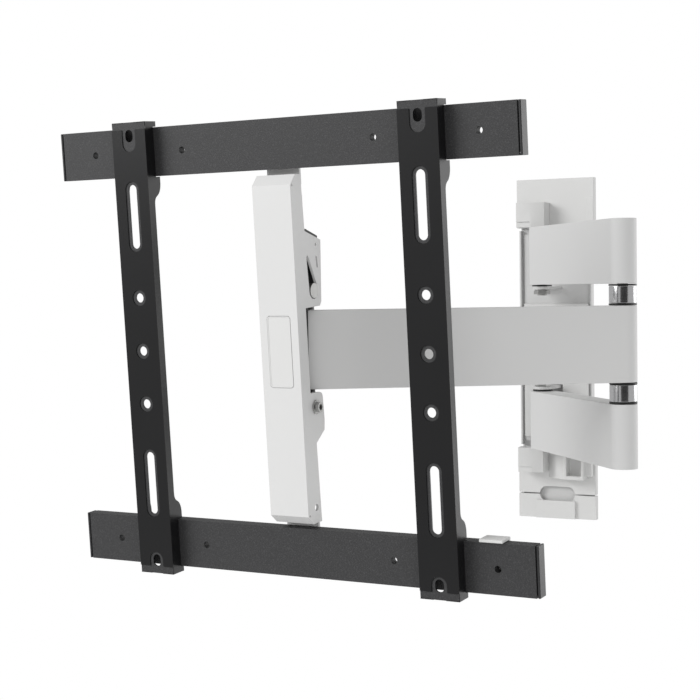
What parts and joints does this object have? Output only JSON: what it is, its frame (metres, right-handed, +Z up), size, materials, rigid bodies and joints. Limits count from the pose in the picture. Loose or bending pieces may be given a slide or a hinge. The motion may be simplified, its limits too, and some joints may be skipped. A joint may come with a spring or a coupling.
{
  "type": "full motion television wall mount",
  "caption": "Swivelling double-arm wall bracket with a tilting head, two horizontal bars and sliding slotted bracket arms for a flat television.",
  "frame": {"origin": "middle of the wall plate's back face, on the wall", "axes": "+Z up, +Y into the wall, the television side faces -Y"},
  "size_m": [0.5042, 0.4295, 0.425],
  "materials": {
    "light_paint": "fine-textured light grey powder coat",
    "light_plastic": "matt light grey moulding",
    "dark_paint": "dark grey textured powder coat",
    "dark_plastic": "dark grey moulding",
    "black_paint": "satin black powder coat",
    "black_plastic": "black acetal",
    "chrome": "polished",
    "zinc": "bright zinc plate",
    "nylon": "natural nylon"
  },
  "bodies": {
    "wall_base": {"wall_plate": "light_paint", "hinge_bracket": "light_paint", "wall_spindle_upper": "zinc", "wall_spindle_nut_upper": "zinc", "wall_washer_upper": "black_plastic", "wall_spindle_lower": "zinc", "wall_spindle_nut_lower": "zinc", "wall_washer_lower": "black_plastic", "upper_cover": "light_plastic", "upper_lug": "light_plastic", "centre_cover": "light_plastic", "lower_cover": "light_plastic", "bottom_cover": "light_plastic", "lower_lug": "light_plastic", "access_box": "light_plastic"},
    "first_arm": {"upper_arm": "light_paint", "upper_arm_inner_cover": "light_plastic", "upper_arm_outer_cover": "light_plastic", "upper_arm_bush": "nylon", "lower_arm": "light_paint", "lower_arm_inner_cover": "light_plastic", "lower_arm_outer_cover": "light_plastic", "lower_arm_bush": "nylon", "elbow_washer_inner_upper": "black_plastic", "elbow_spacer_upper": "chrome", "elbow_washer_outer_upper": "black_plastic", "elbow_washer_inner_lower": "black_plastic", "elbow_spacer_lower": "chrome", "elbow_washer_outer_lower": "black_plastic", "elbow_spindle": "zinc"},
    "long_arm": {"long_arm": "light_paint", "long_arm_upper_cover": "light_plastic", "long_arm_lower_cover": "light_plastic", "elbow_bush_upper": "nylon", "elbow_bush_lower": "nylon", "head_bush_upper": "nylon", "head_bush_lower": "nylon"},
    "swivel": {"swivel_bracket": "black_paint", "swivel_pin": "zinc", "swivel_washer_upper": "black_plastic", "swivel_washer_lower": "black_plastic"},
    "head": {"head_channel": "light_paint", "head_badge": "light_plastic", "tilt_pin": "zinc", "tie_bolt": "zinc", "tie_nut": "zinc", "tie_tube": "zinc", "bar_tongue_top": "light_paint", "bar_tongue_bottom": "light_paint", "top_bar": "dark_paint", "bottom_bar": "dark_paint", "top_bar_cap_left": "dark_plastic", "top_bar_cap_right": "dark_plastic", "bottom_bar_cap_left": "dark_plastic", "bottom_bar_cap_right": "dark_plastic", "cable_clip": "light_plastic"},
    "bracket_arm_left": {"bracket_arm_left": "black_paint"},
    "bracket_arm_right": {"bracket_arm_right": "black_paint"}
  },
  "joints": [
    {"name": "wall_swivel", "type": "hinge", "parent": "wall_base", "child": "first_arm", "pos_m": [-0.005, -0.036, 0.013], "axis": [0, 0, -1], "range_deg": [-48.5, 69.3]},
    {"name": "elbow", "type": "hinge", "parent": "first_arm", "child": "long_arm", "pos_m": [0.13084, -0.18954, 0.013], "axis": [0, 0, 1], "range_deg": [-70, 97.2]},
    {"name": "head_swivel", "type": "hinge", "parent": "long_arm", "child": "swivel", "pos_m": [-0.11699, -0.35859, 0.013], "axis": [0, 0, -1], "range_deg": [-37.3, 90]},
    {"name": "tilt", "type": "hinge", "parent": "swivel", "child": "head", "pos_m": [-0.11782, -0.37437, 0.06674], "axis": [0.9986, -0.0523, 0], "range_deg": [-7, 7.5]},
    {"name": "left_arm_slide", "type": "slide", "parent": "head", "child": "bracket_arm_left", "axis": [0.9986, -0.0523, 0], "range_m": [-0.05, 0.09]},
    {"name": "right_arm_slide", "type": "slide", "parent": "head", "child": "bracket_arm_right", "axis": [-0.9986, 0.0523, 0], "range_m": [-0.012, 0.09]}
  ]
}
